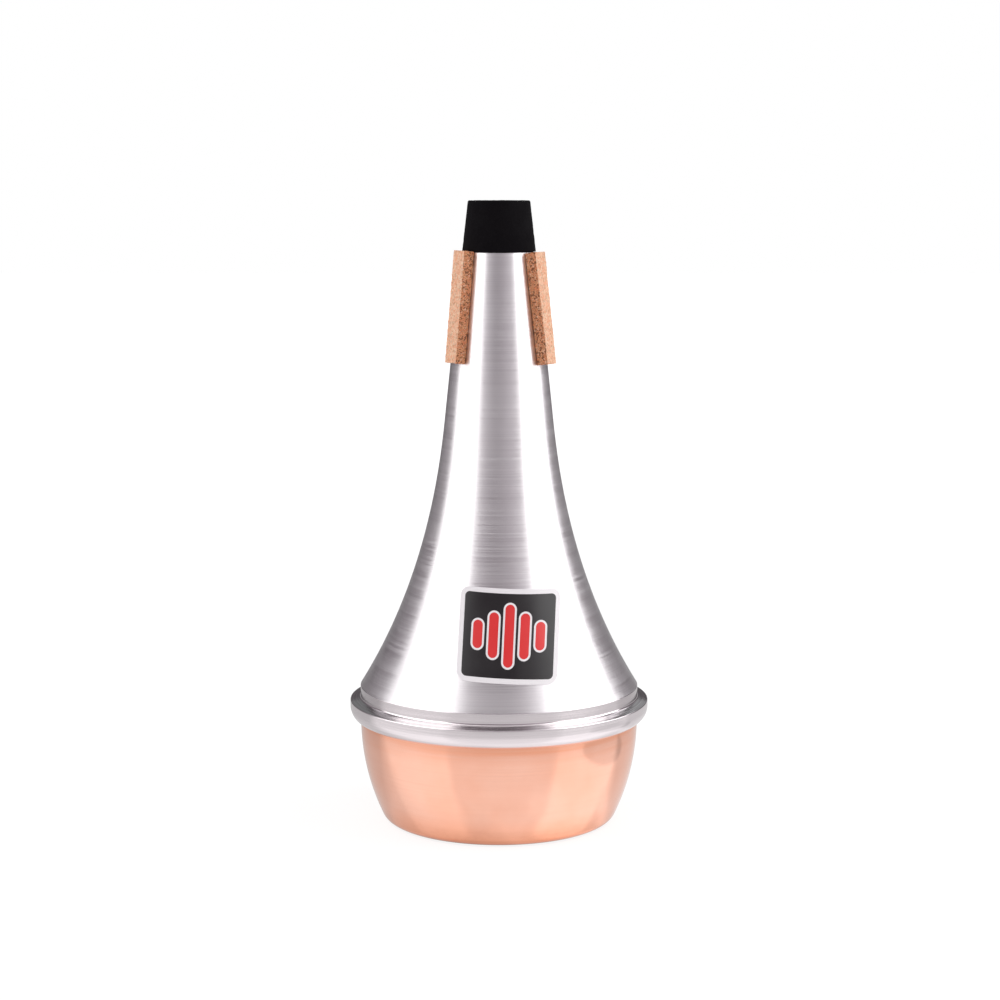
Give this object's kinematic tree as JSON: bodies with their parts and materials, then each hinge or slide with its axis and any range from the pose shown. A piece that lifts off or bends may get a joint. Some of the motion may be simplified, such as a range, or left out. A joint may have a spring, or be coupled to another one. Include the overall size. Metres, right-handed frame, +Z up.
{
  "type": "trombone straight mute",
  "caption": "Straight mute for a trombone bell: a flared spun aluminium cone with a rolled rim, a copper bowl base, a black end sleeve and cork strips on the flank.",
  "frame": {"origin": "middle of the flat copper base, on the surface that the mute stands on", "axes": "+Z up the mute's axis, from the base to the open narrow end; -Y is the front"},
  "size_m": [0.131, 0.131, 0.2715],
  "materials": {
    "aluminium": "spun, with fine brush lines round the axis",
    "copper": "spun copper, satin",
    "black_rubber": "matte black",
    "cork": "agglomerated cork, sanded"
  },
  "bodies": {
    "root": {"cone_shell": "aluminium", "base_bowl": "copper", "end_sleeve": "black_rubber", "cork_strip_left": "cork", "cork_strip_right": "cork", "cork_strip_back": "cork"}
  },
  "joints": []
}
